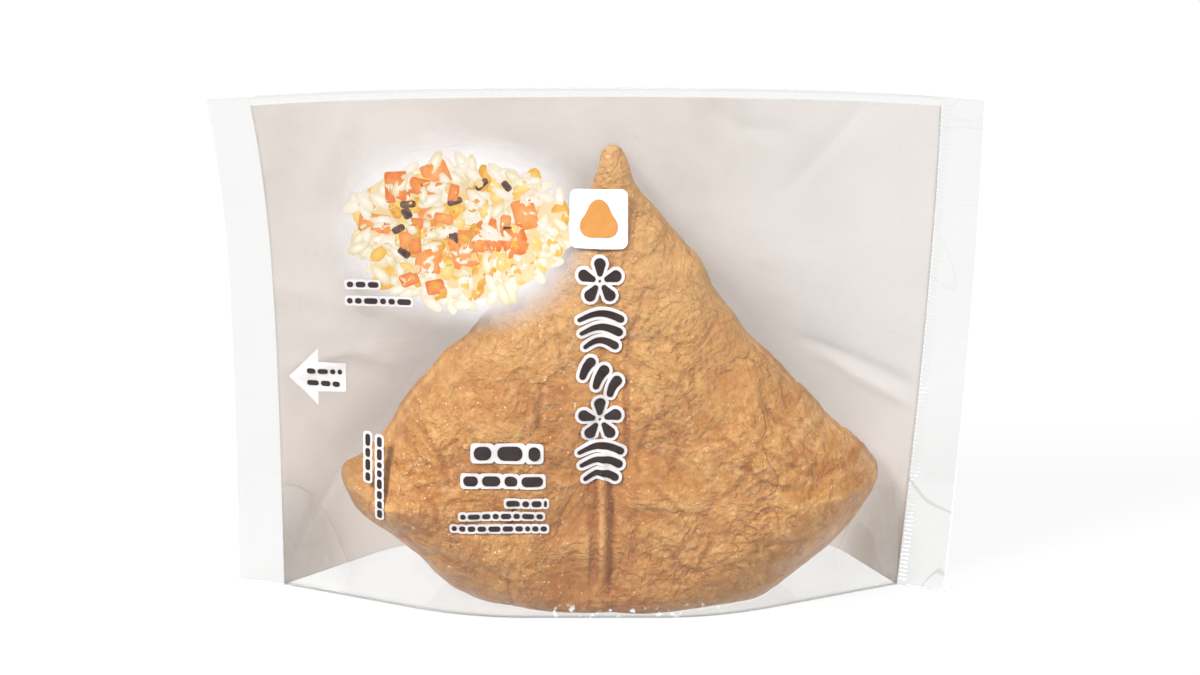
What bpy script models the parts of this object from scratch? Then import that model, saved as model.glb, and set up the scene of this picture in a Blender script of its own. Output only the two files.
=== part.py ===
"""A large triangular inari sushi in its clear film bag.

The bag is sealed down both sides, folded along the top and has a gusset folded into the bottom.
It is shut, so it is modelled as one closed solid out to the film: a front and a back sheet
stretched over the inari, two flat sealed strips, a folded top edge, a flat base, and the tucked
pocket that the gusset leaves under each lower corner.

Metres, +Z up, front towards -Y. The origin is the middle of the base.
"""

import math

import bmesh
import bpy
import numpy as np
from mathutils import Vector, noise

# The bag, as filled
BAG_WIDTH = 0.1442
BAG_HEIGHT = 0.1000
SEAL_TOP_WIDTH = 0.0081
SEAL_BASE_WIDTH = 0.0089
SEAL_THICKNESS = 0.0005
LEFT_PULL_IN = 0.0041
LEFT_PULL_POWER = 4.3
RIGHT_PULL_IN = 0.0058
RIGHT_PULL_POWER = 1.5
TOP_CORNER_DROP = 0.0023
TOP_DROP_POWER = 3.0

# The base. The sealed strips stand in front of its middle, and the gusset is folded in between
MIDDLE_Y = -0.0018
FRONT_BASE_Y = -0.0174
BACK_BASE_Y = 0.0177
FRONT_BASE_LEFT = -0.0240
FRONT_BASE_RIGHT = 0.0230
BACK_BASE_LEFT = -0.0370
BACK_BASE_RIGHT = 0.0455
CREASE_BLEND = 0.0050
GUSSET_FOLD = 0.0205
GUSSET_TUCK = 0.85

# The sealed strips curl a little out of their plane towards the base
LEFT_CURL = 0.0022
RIGHT_CURL = -0.0036
CURL_POWER = 1.5
RIPPLE = 0.0004
RIPPLE_LENGTH = 0.031

# The inari, seen from the front: its corners as (x, z) before they are rounded
INARI_APEX = (0.0034, 0.0900)
INARI_LEFT_EAR = (-0.0520, 0.0205)
INARI_BASE_LEFT = (-0.0265, -0.0030)
INARI_BASE_RIGHT = (0.0310, -0.0030)
INARI_RIGHT_EAR = (0.0565, 0.0240)
CORNER_BLEND = 0.0060
INARI_HALF_DEPTH = 0.0174
INARI_TAPER_HEIGHT = 0.0985
INARI_TAPER_POWER = 1.7
EDGE_ROUND = 0.0160
BASE_ROUND = 0.0050
BASE_SHARE = 0.92
LUMP_SIZE = 0.0115
LUMP_HEIGHT = 0.0009
SEAM_X = 0.0035
SEAM_WIDTH = 0.0030
SEAM_DEPTH = 0.0008

# The film over it. Beside the inari it falls back to the seals' plane over about FILM_CLING
FILM_GAP = 0.0003
FILM_CLING = 0.0100
COLUMNS = 48
SEAL_COLUMNS = 2
ROWS = 36
RELAX_ROUNDS = 2500
SOFTEN_ROUNDS = 3

SHARP_ANGLE = math.radians(38)
FILM_COLOUR = (0.86, 0.87, 0.86, 1.0)
PRINT_COLOUR = (0.78, 0.72, 0.66, 1.0)
FRIED_COLOUR = (0.60, 0.30, 0.11, 1.0)


def smooth_min(first, second, blend):
    """The lower of two values, rounded over where they come within blend of each other."""
    share = np.clip(0.5 + 0.5 * (second - first) / blend, 0, 1)
    return second + (first - second) * share - blend * share * (1 - share)


def left_edge(z):
    """The bag's left outer edge, which the filling pulls in towards the base."""
    return -BAG_WIDTH / 2 + LEFT_PULL_IN * (1 - (z / BAG_HEIGHT) ** LEFT_PULL_POWER)


def right_edge(z):
    """The bag's right outer edge."""
    return BAG_WIDTH / 2 - RIGHT_PULL_IN * (1 - z / BAG_HEIGHT) ** RIGHT_PULL_POWER


def seal_width(z):
    """The width of either sealed strip."""
    return SEAL_BASE_WIDTH + (SEAL_TOP_WIDTH - SEAL_BASE_WIDTH) * z / BAG_HEIGHT


def top_edge(x):
    """The height of the folded top edge, which drops towards the corners."""
    return BAG_HEIGHT - TOP_CORNER_DROP * np.abs(2 * x / BAG_WIDTH) ** TOP_DROP_POWER


def base_reach(x, face):
    """How far the fold between a sheet and the base stands from the seals' plane."""
    if face < 0:
        reach, corner_left, corner_right = MIDDLE_Y - FRONT_BASE_Y, FRONT_BASE_LEFT, FRONT_BASE_RIGHT
    else:
        reach, corner_left, corner_right = BACK_BASE_Y - MIDDLE_Y, BACK_BASE_LEFT, BACK_BASE_RIGHT
    seal_left = left_edge(0) + seal_width(0)
    seal_right = right_edge(0) - seal_width(0)
    rise_left = reach * (x - seal_left) / (corner_left - seal_left)
    rise_right = reach * (seal_right - x) / (seal_right - corner_right)
    sides = smooth_min(rise_left, rise_right, CREASE_BLEND)
    return np.maximum(smooth_min(sides, reach + 0 * x, CREASE_BLEND), SEAL_THICKNESS / 2)


def inside_distance(x, z):
    """Distance into the inari's front outline, from its four slanted sides."""
    corners = (INARI_BASE_RIGHT, INARI_RIGHT_EAR, INARI_APEX, INARI_LEFT_EAR, INARI_BASE_LEFT)
    distance = None
    for (x0, z0), (x1, z1) in zip(corners, corners[1:]):
        length = math.hypot(x1 - x0, z1 - z0)
        side = ((z1 - z0) * (x0 - x) - (x1 - x0) * (z0 - z)) / length
        distance = side if distance is None else smooth_min(distance, side, CORNER_BLEND)
    return distance


def lumps(x, z, face):
    """The soft lumps of rice under the fried skin, from -1 to 1. face is -1 in front and 1 behind."""
    found = np.zeros(np.shape(x))
    for place in np.ndindex(*found.shape):
        point = Vector((x[place], face * BAG_WIDTH, z[place])) / LUMP_SIZE
        found[place] = noise.noise(point)
    return found


def inari_half_depth(x, z, face):
    """Half the inari's depth at (x, z): a pillow that tapers to its apex, with a flat base."""
    rise = np.clip(inside_distance(x, z) / EDGE_ROUND, 0, 1)
    pillow = np.sqrt(1 - (1 - rise) ** 2)
    taper = 1 - np.clip(z / INARI_TAPER_HEIGHT, 0, 1) ** INARI_TAPER_POWER
    low = np.clip(z / BASE_ROUND, 0, 1)
    base = BASE_SHARE + (1 - BASE_SHARE) * np.sqrt(1 - (1 - low) ** 2)
    seam = SEAM_DEPTH * np.exp(-(((x - SEAM_X) / SEAM_WIDTH) ** 2))
    relief = LUMP_HEIGHT * lumps(x, z, face) - seam
    return pillow * (INARI_HALF_DEPTH * taper * base + relief)


def columns_at(z):
    """The x of each column of the bag's grid at height z."""
    left, right, width = left_edge(z), right_edge(z), seal_width(z)
    seal = np.linspace(0, width, SEAL_COLUMNS + 1)
    inner = np.linspace(left + width, right - width, COLUMNS + 1)
    return np.concatenate([left + seal[:-1], inner, right - width + seal[1:]])


def grid_places():
    """The (x, z) of each grid point of a sheet, as arrays of rows by columns."""
    heights = np.linspace(0, 1, ROWS + 1)
    x = np.array([columns_at(BAG_HEIGHT * height) for height in heights])
    z = heights[:, None] * top_edge(x)
    return x, z


def stretched(x, z, face):
    """How far a sheet stands from the seals' plane: it lies on the inari and is taut between its
    folds, and above the gusset, where nothing holds the two sheets apart, it clings."""
    held = np.full(x.shape, SEAL_THICKNESS / 2)
    held[0] = base_reach(x[0], face)
    inner = (slice(1, -1), slice(SEAL_COLUMNS + 1, -SEAL_COLUMNS - 1))
    inari = inari_half_depth(x, z, face)
    reach = np.where(inari > 0, inari - face * MIDDLE_Y + FILM_GAP, 0)
    below = np.maximum(reach, SEAL_THICKNESS / 2)
    across = 1 / (x[0, SEAL_COLUMNS + 1] - x[0, SEAL_COLUMNS]) ** 2
    up = 1 / (BAG_HEIGHT / ROWS) ** 2
    pull = np.clip(z[inner] / GUSSET_FOLD - 1, 0, 1) / FILM_CLING ** 2
    depth = held.copy()
    depth[inner] = below[inner]
    for turn in range(RELAX_ROUNDS + SOFTEN_ROUNDS):
        sides = depth[1:-1, :-2] + depth[1:-1, 2:]
        ends = depth[:-2, 1:-1] + depth[2:, 1:-1]
        middle = slice(SEAL_COLUMNS, -SEAL_COLUMNS)
        level = (across * sides + up * ends)[:, middle] / (2 * (across + up) + pull)
        depth[inner] = np.maximum(below[inner], level) if turn < RELAX_ROUNDS else level
    return depth, depth <= below + FILM_GAP


def curl(x, z):
    """How far the sealed strips stand out of their plane."""
    low = (1 - np.clip(z / BAG_HEIGHT, 0, 1)) ** CURL_POWER
    out_left = np.clip(1 - (x - left_edge(z)) / seal_width(z), 0, 1)
    out_right = np.clip(1 - (right_edge(z) - x) / seal_width(z), 0, 1)
    wave = RIPPLE * np.sin(2 * math.pi * z / RIPPLE_LENGTH)
    return out_left * (LEFT_CURL * low + wave) + out_right * (RIGHT_CURL * low - wave)


def gusset_height(x):
    """How far the fold along the middle of the gusset stands above the base."""
    from_seal = min(x - left_edge(0), right_edge(0) - x) - seal_width(0)
    return GUSSET_TUCK * max(0.0, GUSSET_FOLD - from_seal)


def bag_mesh():
    """The bag: a grid extruded into a front and a back sheet, whose lower wall is the base."""
    x, z = grid_places()
    front, front_touch = stretched(x, z, -1)
    back, _ = stretched(x, z, 1)
    middle = MIDDLE_Y + curl(x, z)
    rows, columns = x.shape
    mesh = bmesh.new()
    bmesh.ops.create_grid(mesh, x_segments=columns - 1, y_segments=rows - 1, size=0.5)
    place = {v: (round((v.co.y + 0.5) * (rows - 1)), round((v.co.x + 0.5) * (columns - 1)))
             for v in mesh.verts}
    grown = bmesh.ops.extrude_face_region(mesh, geom=mesh.faces[:])["geom"]
    back_verts = {v for v in grown if isinstance(v, bmesh.types.BMVert)}
    place.update({v: (round((v.co.y + 0.5) * (rows - 1)), round((v.co.x + 0.5) * (columns - 1)))
                  for v in back_verts})
    for v, at in place.items():
        depth = back[at] if v in back_verts else -front[at]
        v.co = (x[at], depth + middle[at], z[at])
    tuck_gusset(mesh, place)
    bmesh.ops.recalc_face_normals(mesh, faces=mesh.faces[:])
    paint_faces(mesh, place, back_verts, front_touch)
    return mesh


def tuck_gusset(mesh, place):
    """Splits the base along its middle line and lifts that line into a fold near each seal."""
    last = SEAL_COLUMNS + COLUMNS
    links = [e for e in mesh.edges
             if place[e.verts[0]] == place[e.verts[1]] and place[e.verts[0]][0] == 0
             and SEAL_COLUMNS < place[e.verts[0]][1] < last]
    split = bmesh.ops.subdivide_edges(mesh, edges=links, cuts=1)["geom_inner"]
    for v in split:
        if isinstance(v, bmesh.types.BMVert):
            v.co.z = gusset_height(v.co.x)


def paint_faces(mesh, place, back_verts, front_touch):
    """Gives each face the film's, the print's or, where the film lies on it, the inari's colour."""
    film, printed, fried = 0, 1, 2
    first, last = SEAL_COLUMNS, SEAL_COLUMNS + COLUMNS
    for face in mesh.faces:
        at = [place.get(v) for v in face.verts]
        face.material_index = film
        if None in at or len(set(at)) < len(at):
            continue
        if not all(first <= column <= last and row < ROWS for row, column in at):
            continue
        if all(v in back_verts for v in face.verts):
            face.material_index = printed
        elif all(front_touch[spot] for spot in at):
            face.material_index = fried


def material(name, colour, roughness, alpha):
    """A plain shader of the named finish."""
    made = bpy.data.materials.new(name)
    made.use_nodes = True
    shader = made.node_tree.nodes["Principled BSDF"]
    shader.inputs["Base Color"].default_value = colour
    shader.inputs["Roughness"].default_value = roughness
    shader.inputs["Metallic"].default_value = 0.0
    shader.inputs["Alpha"].default_value = alpha
    return made


def clear_scene():
    for obj in list(bpy.data.objects):
        bpy.data.objects.remove(obj)


def main():
    clear_scene()
    group = bpy.data.collections.new("inari_in_clear_bag")
    bpy.context.scene.collection.children.link(group)
    mesh = bag_mesh()
    data = bpy.data.meshes.new("filled_bag")
    mesh.to_mesh(data)
    mesh.free()
    data.materials.append(material("clear film", FILM_COLOUR, 0.15, 0.6))
    data.materials.append(material("off-white print", PRINT_COLOUR, 0.6, 1.0))
    data.materials.append(material("fried tofu under film", FRIED_COLOUR, 0.3, 1.0))
    bag = bpy.data.objects.new("filled_bag", data)
    group.objects.link(bag)
    data.shade_smooth()
    data.set_sharp_from_angle(angle=SHARP_ANGLE)


main()
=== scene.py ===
"""A large triangular inari sushi in its clear printed film bag, standing on its opened gusset."""

import math

import bmesh
import bpy
import numpy as np
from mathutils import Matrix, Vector, noise


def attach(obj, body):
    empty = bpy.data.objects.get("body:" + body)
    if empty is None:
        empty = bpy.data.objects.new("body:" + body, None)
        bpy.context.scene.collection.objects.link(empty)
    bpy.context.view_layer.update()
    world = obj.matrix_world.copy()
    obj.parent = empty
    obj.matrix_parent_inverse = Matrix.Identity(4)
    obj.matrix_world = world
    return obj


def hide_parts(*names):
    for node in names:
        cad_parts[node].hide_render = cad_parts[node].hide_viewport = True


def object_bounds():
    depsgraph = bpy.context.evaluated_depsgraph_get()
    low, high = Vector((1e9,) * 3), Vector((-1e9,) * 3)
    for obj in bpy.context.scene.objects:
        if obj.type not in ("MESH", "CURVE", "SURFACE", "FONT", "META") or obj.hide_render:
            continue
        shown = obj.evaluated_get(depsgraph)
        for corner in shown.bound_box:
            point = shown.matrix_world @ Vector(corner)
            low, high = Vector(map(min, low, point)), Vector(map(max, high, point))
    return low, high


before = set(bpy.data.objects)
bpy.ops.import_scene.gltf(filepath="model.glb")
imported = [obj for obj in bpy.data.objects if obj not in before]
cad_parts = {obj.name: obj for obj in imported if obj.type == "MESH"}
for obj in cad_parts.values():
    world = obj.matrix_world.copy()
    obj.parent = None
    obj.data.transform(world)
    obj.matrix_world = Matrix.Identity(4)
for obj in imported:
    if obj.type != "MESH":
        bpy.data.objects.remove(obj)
cad_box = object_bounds()
scene = bpy.context.scene
MM = 0.001

# The bag as filled, and the plain inari in it: the same sizes as the solid's
BAG_WIDTH = round(cad_box[1][0] - cad_box[0][0], 4)
BAG_HEIGHT = round(cad_box[1][2] - cad_box[0][2], 4)
SEAL_TOP_WIDTH = 0.0081
SEAL_BASE_WIDTH = 0.0089
SEAL_THICKNESS = 0.0005
LEFT_PULL_IN = 0.0041
LEFT_PULL_POWER = 4.3
RIGHT_PULL_IN = 0.0058
RIGHT_PULL_POWER = 1.5
TOP_CORNER_DROP = 0.0023
TOP_DROP_POWER = 3.0
MIDDLE_Y = -0.0018
FRONT_BASE_Y = -0.0174
BACK_BASE_Y = 0.0177
FRONT_BASE_LEFT = -0.0240
FRONT_BASE_RIGHT = 0.0230
BACK_BASE_LEFT = -0.0370
BACK_BASE_RIGHT = 0.0455
CREASE_BLEND = 0.0050
GUSSET_FOLD = 0.0205
LEFT_CURL = 0.0022
RIGHT_CURL = -0.0036
CURL_POWER = 1.5
RIPPLE = 0.0004
RIPPLE_LENGTH = 0.031
INARI_APEX = (0.0034, 0.0900)
INARI_LEFT_EAR = (-0.0520, 0.0205)
INARI_BASE_LEFT = (-0.0265, -0.0030)
INARI_BASE_RIGHT = (0.0310, -0.0030)
INARI_RIGHT_EAR = (0.0565, 0.0240)
CORNER_BLEND = 0.0060
INARI_HALF_DEPTH = 0.0174
INARI_TAPER_HEIGHT = 0.0985
INARI_TAPER_POWER = 1.7
EDGE_ROUND = 0.0160
BASE_ROUND = 0.0050
BASE_SHARE = 0.92
LUMP_SIZE = 0.0115
LUMP_HEIGHT = 0.0009
SEAM_X = 0.0035
SEAM_WIDTH = 0.0030
SEAM_DEPTH = 0.0008
FILM_GAP = 0.0003
FILM_CLING = 0.0100
COLUMNS = 48
SEAL_COLUMNS = 2
ROWS = 36
RELAX_ROUNDS = 2500
SOFTEN_ROUNDS = 3

# The film, and how much finer the meshes here are than the solid's
FILM_THICKNESS = 0.00006
STRIP_THICKNESS = 0.00012
FINER = 4
FOOD_COLUMNS = 224
FOOD_ROWS = 200

# The inari's sides from base to apex, in millimetres, as (x, z)
LEFT_SIDE = (
    (-18, -7), (-24.6, -1.6), (-29.2, 2.1), (-33.2, 6.4), (-38, 10.4), (-44.6, 15.8),
    (-47.7, 20.6), (-47.2, 24.4), (-44.4, 26.2), (-39.8, 31), (-36.8, 36.1), (-32.9, 41.2),
    (-28.2, 47.2), (-23.2, 51.6), (-15, 61.8), (-7.8, 70.6), (-1.2, 78.9), (0.6, 83.2),
    (1.4, 86.6), (2.6, 88.1),
)
RIGHT_SIDE = (
    (24, -7), (31, -2.4), (35.2, 1.1), (40.5, 5.6), (43.9, 8.6), (47.4, 12.5), (50.2, 16.6),
    (52.7, 20.7), (53.4, 23.6), (51.6, 26.9), (48.1, 30.8), (43.4, 35.1), (38.7, 40.4),
    (33.6, 46.4), (28.2, 51.3), (23.9, 57.3), (19.7, 65), (15, 71.3), (11.2, 76.2),
    (8.4, 79.3), (6.9, 81.9), (6.2, 84.6), (5.0, 87.3), (3.6, 88.1),
)
FOOD_BASE = 0.0004
FOOD_BASE_SHARE = BASE_SHARE - 0.08
RIM_UNEVENNESS = ((6.0 * MM, 0.55 * MM), (1.9 * MM, 0.28 * MM))

# The skin's relief: the size of its puffs, wrinkles and pimples, and their heights
PUFF_SIZE = 8.5 * MM
PUFF_HEIGHT = 0.85 * MM
WRINKLE_SIZE = 3.6 * MM
WRINKLE_HEIGHT = 0.16 * MM
PIMPLE_SIZE = 1.5 * MM
PIMPLE_HEIGHT = 0.05 * MM
PUFF_CREASE_DEPTH = 0.16 * MM
WRINKLE_CREASE_DEPTH = 0.05 * MM
# How far a puff stands above its neighbours when it gets the whole painted highlight
HUMP_HIGHLIGHT_HEIGHT = 0.9 * MM

# Creases in the fried skin, in millimetres: points along each, its width and its depth, of which
# the tight skin shows a share
CREASE_WIDTH_SHARE = 0.58
CREASE_DEPTH_SHARE = 0.5
SKIN_CREASES = (
    (((10.4, 26.6), (14.4, 22.6), (16.4, 20.6), (20.8, 20.8)), 0.9, 0.9),
    (((15.8, 20.4), (15.4, 16.4)), 0.8, 0.6),
    (((22, 15.4), (20.2, 11.6), (19.4, 9.6)), 0.9, 0.9),
    (((25.2, 29), (28, 29.6), (31.4, 26.8), (36, 25.4)), 0.9, 0.8),
    (((19.4, 34.6), (24.2, 34.8), (27.4, 32.6)), 0.8, 0.7),
    (((7.2, 31.6), (8.6, 28.6)), 0.7, 0.6),
    (((7.5, 72), (11.4, 69), (14.4, 67)), 0.8, 0.5),
    (((8.8, 60.6), (7.8, 57), (6.4, 55), (6.4, 49.4)), 1.0, 1.0),
    (((-29, 32.4), (-24.8, 35.2)), 0.8, 0.7),
    (((-18.6, 39.8), (-18.4, 37.6)), 0.8, 0.6),
    (((-8.4, 27.4), (-6.4, 24.2)), 0.8, 0.7),
    (((-0.6, 18.4), (-0.6, 9)), 0.9, 0.6),
    (((0.2, 31), (0.3, 8)), 0.8, 1.2),
    (((2.7, 31), (2.7, 4)), 0.8, 1.5),
    (((5.9, 52), (5.8, 30)), 1.0, 0.7),
    (((-13.6, 46), (-11, 42), (-10, 36)), 0.9, 0.5),
    (((30, 42), (33, 38), (38, 35)), 0.9, 0.6),
    (((12, 47), (16, 45), (18, 41)), 0.8, 0.6),
    (((-34, 26), (-30, 22), (-29, 17)), 0.9, 0.6),
    (((-2.4, 34.8), (1.4, 34.2), (5, 32.8)), 0.9, 1.1),
    (((-1.2, 26.3), (-0.6, 14), (-0.9, 2.5)), 0.9, 0.8),
    (((3.2, 26.3), (3.6, 14.4)), 0.8, 0.9),
    (((5.6, 45.4), (6.2, 31)), 0.9, 0.8),
    (((-9.8, 46.4), (-10.6, 35.8)), 0.9, 0.7),
    (((-7.6, 57.3), (-5.4, 46.4)), 1.0, 0.6),
    (((-23.2, 47.7), (-22, 41.8)), 0.8, 0.7),
    (((-34, 38), (-28.6, 31), (-27.2, 25)), 0.9, 0.8),
    (((-21, 9.8), (-13, 4.9)), 0.9, 0.7),
    (((12, 15.6), (16.5, 9.8), (20.8, 9.0)), 1.0, 0.9),
    (((7.8, 31), (9.9, 38), (16.5, 41.8)), 0.9, 0.7),
    (((27.5, 35.8), (34, 31), (41.6, 26.3)), 0.9, 0.7),
    (((20.8, 21.6), (27.5, 26.3), (29.6, 31)), 0.9, 0.6),
    (((-16, 30), (-15, 22), (-17, 14)), 0.9, 0.6),
    (((-38, 28), (-33, 30)), 0.8, 0.6),
)
SEAM_RIDGE = (((1.4, 33), (1.5, 8)), 0.9, -0.9)

# Folds in the front and back films, in millimetres: points along each, its width and its height
FRONT_FOLDS = (
    (((38.4, 48.2), (49.5, 44.2), (61, 39.6)), 1.0, 0.8),
    (((43, 45.4), (49.5, 42.2), (60.8, 36.6)), 1.1, -0.6),
    (((52, 23.4), (57.4, 0.5)), 0.7, 0.8),
    (((50.5, 17), (56.6, 3.4)), 0.6, -0.5),
    (((53.6, 26), (59.4, 8)), 0.6, 0.6),
    (((50.6, 96.4), (44, 89), (37.2, 81.6)), 1.6, 0.5),
    (((-52.6, 27), (-58.4, 3)), 0.7, 0.8),
    (((-51, 24), (-55.6, 10)), 0.7, -0.5),
    (((-55.5, 41), (-60, 38.6)), 0.8, 0.6),
    (((-45, 26), (-59.5, 37.5)), 0.9, 0.5),
    (((-38, 43.6), (-47, 46.8), (-58, 42)), 1.2, 0.5),
)
BACK_FOLDS = (
    (((-47, 22), (-59, 4)), 0.9, 0.8),
    (((52, 22), (57.6, 4)), 0.9, 0.8),
    (((39, 48), (49.5, 44.6), (61, 40)), 1.3, 1.0),
    (((43, 45), (49.5, 41), (61, 36)), 1.3, -0.9),
    (((-34, 42), (-46, 47), (-60, 44)), 1.8, -0.9),
    (((20, 97), (27, 92), (36, 91)), 1.8, 0.5),
    (((50, 97), (43, 88), (36, 80)), 2.0, 0.5),
)

# The clear strip along the top, the film's least gaps to the skin and to the seals' plane, and the
# height above which the film lies smooth
CLEAR_TOP = 0.0019
FOOD_GAP = 0.12 * MM
LEAST_DEPTH = 0.05 * MM
FLAT_TOP = 82 * MM

# Folds across both sealed strips, in millimetres: their heights and sizes
STRIP_FOLDS = ((22.2, 0.35), (39.5, 0.30), (70.0, 0.12))
STRIP_FOLD_WIDTH = 0.9 * MM
STRIP_FOLD_SLANT = 0.08

# The gusset's tuck beside each strip: how far in it reaches, how steeply it ends, how far it leans
# and how high it shows
TUCK_LEFT = 0.0125
TUCK_RIGHT = 0.0115
TUCK_POWER = 2.2
TUCK_LEAN = 0.004
TUCK_TOP = 0.022

# Finishes: places on the skin and on the films where they change, and their strengths
WHITE = (1, 1, 1, 1)
EDGE_SHEEN = 0.30
# Where the painted glints on the front film are centred, and how far either way they reach
GLINT_MIDDLE = 0.009
GLINT_REACH = 0.016
RIB_PITCH = 0.00085
PANEL_GLOW = 0.8
SEAM_SHADE_X = 0.0044
EAR_X = -0.0405

# How far each print stands off the film, in millimetres, and how far each shape off the last
PRINT_LIFT = {"print_field": 0.06, "print_filling": 0.085, "print_surrounds": 0.16,
              "print_label": 0.22, "print_marks": 0.26, "print_emblem": 0.32}
SHAPE_STEP = 0.00004


def smooth_min(first, second, blend):
    """The lower of two values, rounded over where they come within blend of each other."""
    share = np.clip(0.5 + 0.5 * (second - first) / blend, 0, 1)
    return second + (first - second) * share - blend * share * (1 - share)


def left_edge(z):
    return -BAG_WIDTH / 2 + LEFT_PULL_IN * (1 - (z / BAG_HEIGHT) ** LEFT_PULL_POWER)


def right_edge(z):
    return BAG_WIDTH / 2 - RIGHT_PULL_IN * (1 - z / BAG_HEIGHT) ** RIGHT_PULL_POWER


def seal_width(z):
    return SEAL_BASE_WIDTH + (SEAL_TOP_WIDTH - SEAL_BASE_WIDTH) * z / BAG_HEIGHT


def inner_edges(z):
    """The x of both sealed strips' inner edges at height z."""
    return left_edge(z) + seal_width(z), right_edge(z) - seal_width(z)


def top_edge(x):
    return BAG_HEIGHT - TOP_CORNER_DROP * np.abs(2 * x / BAG_WIDTH) ** TOP_DROP_POWER


def base_reach(x, face):
    """How far the fold between a sheet and the base stands from the seals' plane."""
    if face < 0:
        reach, corner_left, corner_right = MIDDLE_Y - FRONT_BASE_Y, FRONT_BASE_LEFT, FRONT_BASE_RIGHT
    else:
        reach, corner_left, corner_right = BACK_BASE_Y - MIDDLE_Y, BACK_BASE_LEFT, BACK_BASE_RIGHT
    seal_left, seal_right = inner_edges(0)
    rise_left = reach * (x - seal_left) / (corner_left - seal_left)
    rise_right = reach * (seal_right - x) / (seal_right - corner_right)
    sides = smooth_min(rise_left, rise_right, CREASE_BLEND)
    return np.maximum(smooth_min(sides, reach + 0 * x, CREASE_BLEND), SEAL_THICKNESS / 2)


def inside_distance(x, z):
    """Distance into the solid's plain outline of the inari, from its four slanted sides."""
    corners = (INARI_BASE_RIGHT, INARI_RIGHT_EAR, INARI_APEX, INARI_LEFT_EAR, INARI_BASE_LEFT)
    distance = None
    for (x0, z0), (x1, z1) in zip(corners, corners[1:]):
        length = math.hypot(x1 - x0, z1 - z0)
        side = ((z1 - z0) * (x0 - x) - (x1 - x0) * (z0 - z)) / length
        distance = side if distance is None else smooth_min(distance, side, CORNER_BLEND)
    return distance


def noise_over(x, z, size, depth=0.0):
    """Smooth noise from -1 to 1 over arrays of places, with features of the given size."""
    found = np.empty(x.size)
    for number, (px, pz) in enumerate(zip(x.ravel() / size, z.ravel() / size)):
        found[number] = noise.noise(Vector((px, depth / size, pz)))
    return found.reshape(x.shape)


def inari_body(x, z, face, distance, base_share):
    """How full the inari is, 0 to 1, and half its depth: a pillow with a flat base that tapers to
    its apex, with rice lumps."""
    rise = np.clip(distance / EDGE_ROUND, 0, 1)
    pillow = np.sqrt(1 - (1 - rise) ** 2)
    taper = 1 - np.clip(z / INARI_TAPER_HEIGHT, 0, 1) ** INARI_TAPER_POWER
    low = np.clip(z / BASE_ROUND, 0, 1)
    base = base_share + (1 - base_share) * np.sqrt(1 - (1 - low) ** 2)
    seam = SEAM_DEPTH * np.exp(-(((x - SEAM_X) / SEAM_WIDTH) ** 2))
    relief = LUMP_HEIGHT * noise_over(x, z, LUMP_SIZE, face * BAG_WIDTH) - seam
    return pillow, pillow * (INARI_HALF_DEPTH * taper * base + relief)


def columns_at(z, finer):
    """The x of each column of the bag's grid at height z."""
    left, right = inner_edges(z)
    seal = np.linspace(0, seal_width(z), SEAL_COLUMNS * finer + 1)
    inner = np.linspace(left, right, COLUMNS * finer + 1)
    return np.concatenate([left_edge(z) + seal[:-1], inner, right + seal[1:]])


def grid_places(finer=1):
    heights = np.linspace(0, 1, ROWS * finer + 1)
    x = np.array([columns_at(BAG_HEIGHT * height, finer) for height in heights])
    return x, heights[:, None] * top_edge(x)


def stretched(x, z, face):
    """How far a sheet stands from the seals' plane: it lies on the inari and is taut between its
    folds, and above the gusset, where nothing holds the two sheets apart, it clings."""
    held = np.full(x.shape, SEAL_THICKNESS / 2)
    held[0] = base_reach(x[0], face)
    inner = np.s_[1:-1, SEAL_COLUMNS + 1:-SEAL_COLUMNS - 1]
    _, inari = inari_body(x, z, face, inside_distance(x, z), BASE_SHARE)
    reach = np.where(inari > 0, inari - face * MIDDLE_Y + FILM_GAP, 0)
    below = np.maximum(reach, SEAL_THICKNESS / 2)
    across = 1 / (x[0, SEAL_COLUMNS + 1] - x[0, SEAL_COLUMNS]) ** 2
    up = 1 / (BAG_HEIGHT / ROWS) ** 2
    pull = np.clip(z[inner] / GUSSET_FOLD - 1, 0, 1) / FILM_CLING ** 2
    depth = held.copy()
    depth[inner] = below[inner]
    for turn in range(RELAX_ROUNDS + SOFTEN_ROUNDS):
        sides = depth[1:-1, :-2] + depth[1:-1, 2:]
        ends = depth[:-2, 1:-1] + depth[2:, 1:-1]
        middle = slice(SEAL_COLUMNS, -SEAL_COLUMNS)
        level = (across * sides + up * ends)[:, middle] / (2 * (across + up) + pull)
        depth[inner] = np.maximum(below[inner], level) if turn < RELAX_ROUNDS else level
    return depth


def curl(x, z):
    """How far the sealed strips stand out of their plane."""
    low = (1 - np.clip(z / BAG_HEIGHT, 0, 1)) ** CURL_POWER
    out_left = np.clip(1 - (x - left_edge(z)) / seal_width(z), 0, 1)
    out_right = np.clip(1 - (right_edge(z) - x) / seal_width(z), 0, 1)
    wave = RIPPLE * np.sin(2 * math.pi * z / RIPPLE_LENGTH)
    return out_left * (LEFT_CURL * low + wave) + out_right * (RIGHT_CURL * low - wave)


def between(rows, finer):
    """Rows of values with even steps put in, on smooth curves through the old ones."""
    padded = np.concatenate([2 * rows[:1] - rows[1:2], rows, 2 * rows[-1:] - rows[-2:-1]])
    step = np.arange((len(rows) - 1) * finer + 1) / finer
    at = np.minimum(step.astype(int), len(rows) - 2)
    t = (step - at)[:, None]
    a, b, c, d = (padded[at + k] for k in range(4))
    return b + 0.5 * t * (c - a + t * (2 * a - 5 * b + 4 * c - d + t * (3 * (b - c) + d - a)))


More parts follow.
